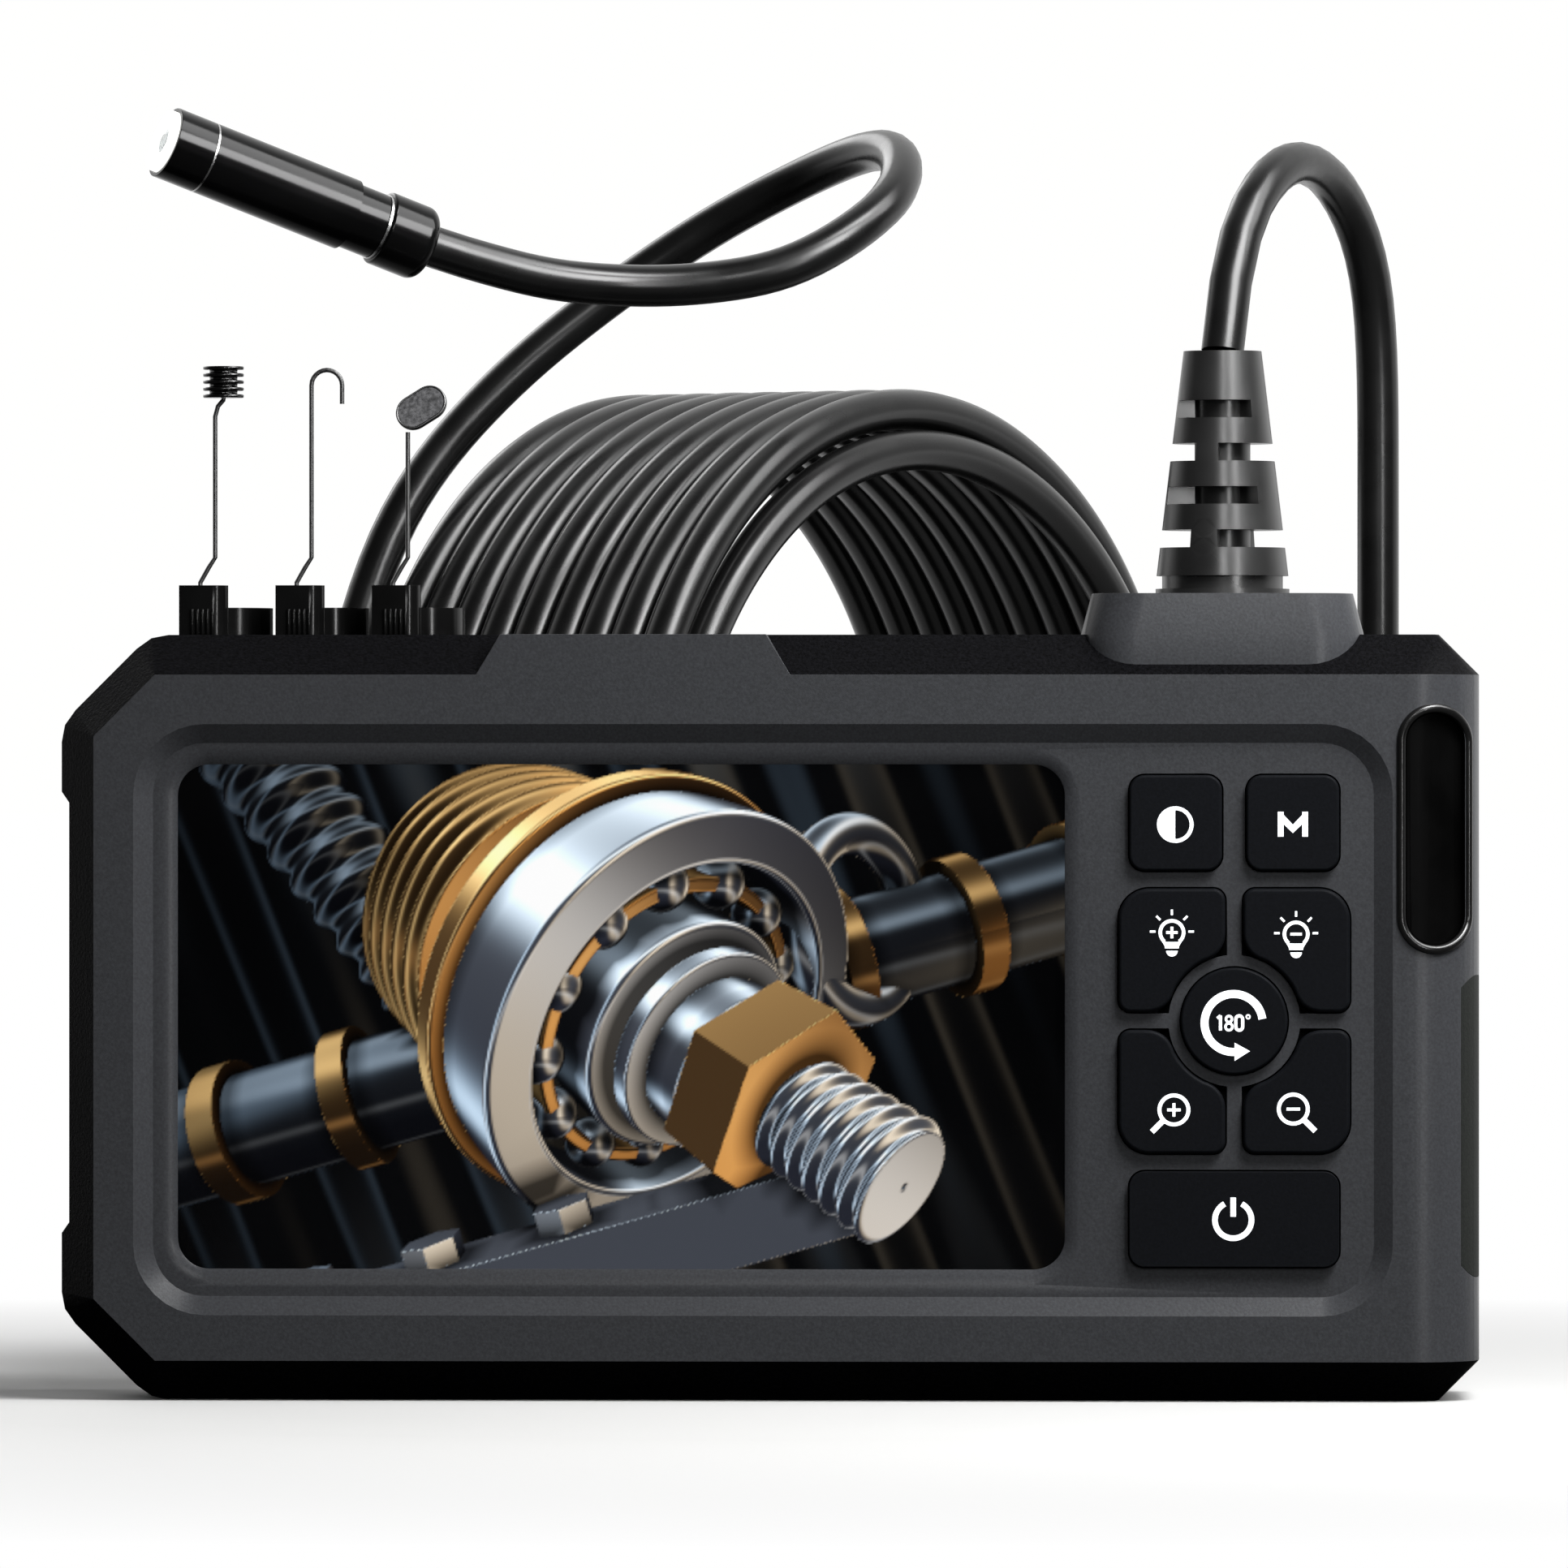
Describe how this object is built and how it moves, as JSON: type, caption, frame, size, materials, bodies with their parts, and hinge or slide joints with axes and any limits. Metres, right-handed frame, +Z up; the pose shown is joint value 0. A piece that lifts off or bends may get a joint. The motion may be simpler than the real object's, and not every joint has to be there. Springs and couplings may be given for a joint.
{
  "type": "inspection camera",
  "caption": "Handheld inspection camera with a framed screen and keys, a slotted strain relief, a coiled semi-rigid cable ending in a round camera probe, and clip-on tools.",
  "frame": {"origin": "centre of the bottom edge that the housing stands on, midway through its depth", "axes": "+X to the right as seen from the screen side, +Y away from the screen, +Z up"},
  "size_m": [0.152, 0.1515, 0.1392],
  "materials": {
    "grey_shell": "satin",
    "black_shell": "textured",
    "clear_window": "glossy",
    "black_rubber": "satin",
    "pad_rubber": "matte",
    "display": "glossy",
    "circuit_board": "satin",
    "battery_wrap": "glossy",
    "key_plastic": "satin",
    "bright_metal": "brushed",
    "cable_jacket": "glossy",
    "white_plastic": "satin",
    "probe_glass": "glossy",
    "probe_black": "glossy",
    "tool_black": "glossy",
    "magnet_metal": "dark polished",
    "wire_steel": "dark satin",
    "mirror_face": "mirror"
  },
  "bodies": {
    "housing": {"front_shell": "grey_shell", "middle_frame": "black_shell", "back_shell": "black_shell", "display_window": "clear_window", "display_gasket": "black_rubber", "display_panel": "display", "main_board": "circuit_board", "battery_pack": "battery_wrap", "key_board": "circuit_board", "key_switches": "bright_metal", "keypad_mat": "black_rubber", "usb_socket": "bright_metal", "card_socket": "bright_metal", "port_board": "circuit_board", "side_pad": "pad_rubber", "case_screws": "bright_metal", "board_screws": "bright_metal", "gland_block": "grey_shell", "gland_nut": "bright_metal", "strain_relief": "black_rubber", "cable_core": "cable_jacket", "internal_lead": "cable_jacket", "lead_connector": "white_plastic", "cable_loop": "cable_jacket", "cable_coil": "cable_jacket", "cable_lead": "cable_jacket", "probe_window": "probe_glass", "probe_lens": "probe_glass", "led_ring": "white_plastic", "camera_module": "probe_black", "probe_head": "probe_black", "seam_ring": "bright_metal", "probe_tube": "probe_black", "probe_board": "circuit_board", "probe_neck": "probe_black", "probe_ring": "bright_metal", "probe_collar": "probe_black"},
    "contrast_key": {"key_contrast": "key_plastic"},
    "menu_key": {"key_menu": "key_plastic"},
    "light_up_key": {"key_light_up": "key_plastic"},
    "light_down_key": {"key_light_down": "key_plastic"},
    "rotate_key": {"key_rotate": "key_plastic"},
    "zoom_in_key": {"key_zoom_in": "key_plastic"},
    "zoom_out_key": {"key_zoom_out": "key_plastic"},
    "power_key": {"key_power": "key_plastic"},
    "port_cover": {"port_cover": "black_rubber"},
    "magnet_tool": {"magnet_collar": "tool_black", "magnet_wire": "wire_steel", "magnet_head": "magnet_metal"},
    "hook_tool": {"hook_collar": "tool_black", "hook_wire": "wire_steel"},
    "mirror_tool": {"mirror_collar": "tool_black", "mirror_wire": "wire_steel", "mirror_frame": "wire_steel", "mirror_glass": "mirror_face"}
  },
  "joints": [
    {"name": "contrast_press", "type": "slide", "parent": "housing", "child": "contrast_key", "axis": [0, 1, 0], "range_m": [0, 0.0007], "stiffness_N_per_m": 300},
    {"name": "menu_press", "type": "slide", "parent": "housing", "child": "menu_key", "axis": [0, 1, 0], "range_m": [0, 0.0007], "stiffness_N_per_m": 300},
    {"name": "light_up_press", "type": "slide", "parent": "housing", "child": "light_up_key", "axis": [0, 1, 0], "range_m": [0, 0.0007], "stiffness_N_per_m": 300},
    {"name": "light_down_press", "type": "slide", "parent": "housing", "child": "light_down_key", "axis": [0, 1, 0], "range_m": [0, 0.0007], "stiffness_N_per_m": 300},
    {"name": "rotate_press", "type": "slide", "parent": "housing", "child": "rotate_key", "axis": [0, 1, 0], "range_m": [0, 0.0007], "stiffness_N_per_m": 300},
    {"name": "zoom_in_press", "type": "slide", "parent": "housing", "child": "zoom_in_key", "axis": [0, 1, 0], "range_m": [0, 0.0007], "stiffness_N_per_m": 300},
    {"name": "zoom_out_press", "type": "slide", "parent": "housing", "child": "zoom_out_key", "axis": [0, 1, 0], "range_m": [0, 0.0007], "stiffness_N_per_m": 300},
    {"name": "power_press", "type": "slide", "parent": "housing", "child": "power_key", "axis": [0, 1, 0], "range_m": [0, 0.0007], "stiffness_N_per_m": 300},
    {"name": "port_cover_pull", "type": "slide", "parent": "housing", "child": "port_cover", "axis": [0, -1, 0], "range_m": [0, 0.008]},
    {"name": "magnet_lift", "type": "slide", "parent": "housing", "child": "magnet_tool", "axis": [0, 0, 1], "range_m": [0, 0.015]},
    {"name": "hook_lift", "type": "slide", "parent": "housing", "child": "hook_tool", "axis": [0, 0, 1], "range_m": [0, 0.015]},
    {"name": "mirror_lift", "type": "slide", "parent": "housing", "child": "mirror_tool", "axis": [0, 0, 1], "range_m": [0, 0.015]}
  ]
}
